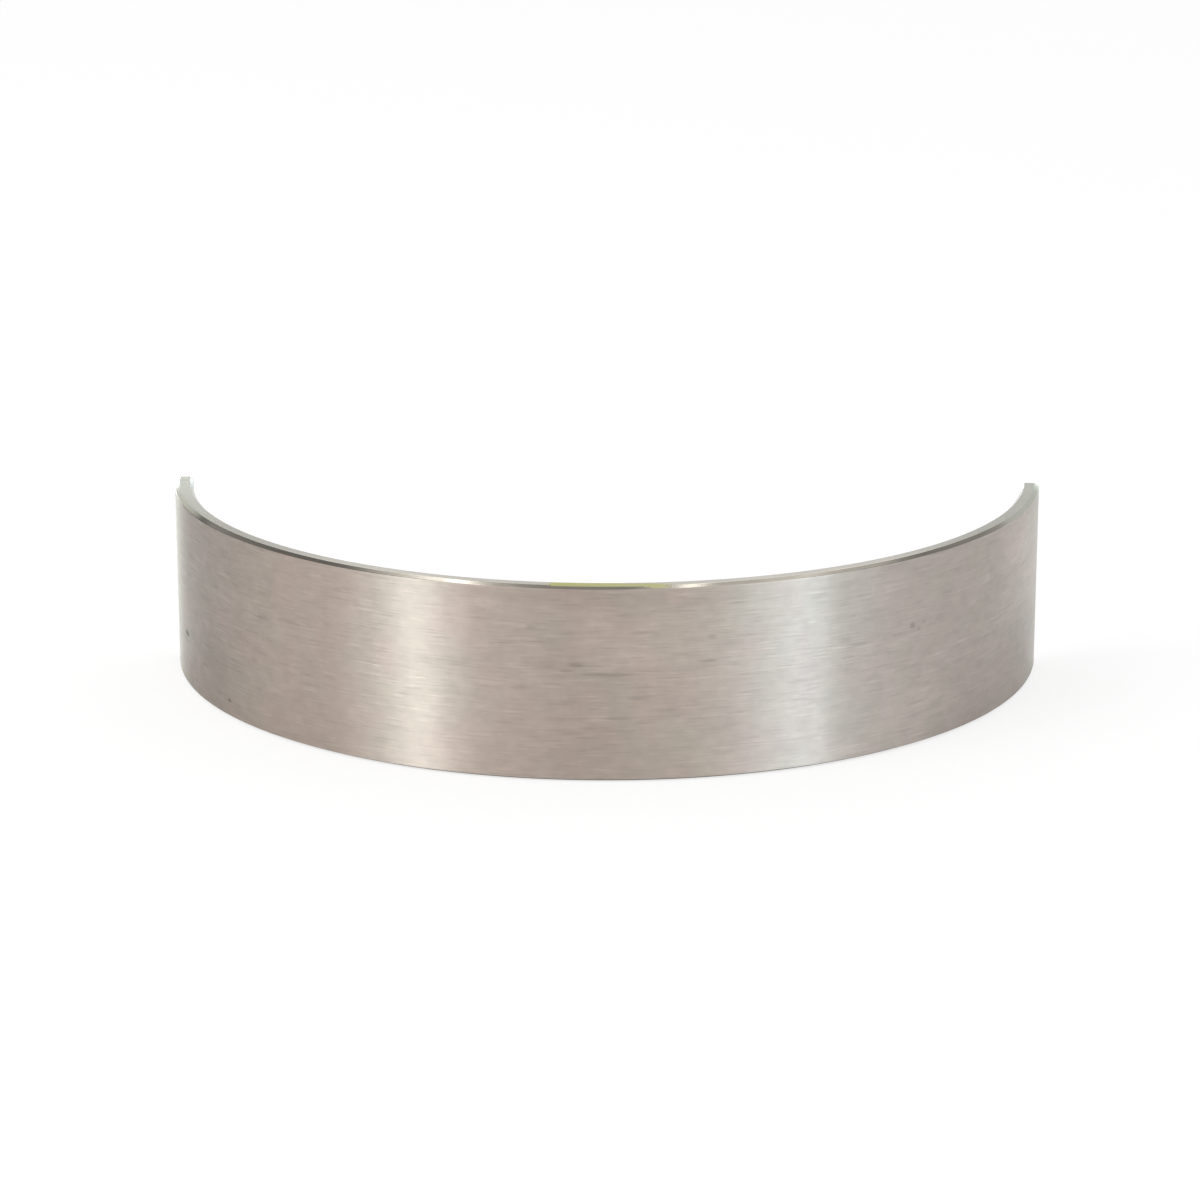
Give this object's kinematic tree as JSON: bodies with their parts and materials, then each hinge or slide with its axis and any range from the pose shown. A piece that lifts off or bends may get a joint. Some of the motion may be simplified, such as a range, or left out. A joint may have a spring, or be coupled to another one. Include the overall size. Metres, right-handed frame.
{
  "type": "engine bearing shell",
  "caption": "Plain half shell of a split journal bearing: a thin half-ring with chamfered side faces, sprung into a connecting rod or main bearing housing.",
  "frame": {"origin": "on the bearing axis, halfway along the width", "axes": "+Z along the bearing axis, up from the side face it stands on; +X across the joint faces; the crown of the back looks along -Y and the two joint faces look along +Y"},
  "size_m": [0.07, 0.0325, 0.015],
  "materials": {
    "steel": "ground round the back, satin"
  },
  "bodies": {
    "root": {"bearing_shell": "steel"}
  },
  "joints": []
}
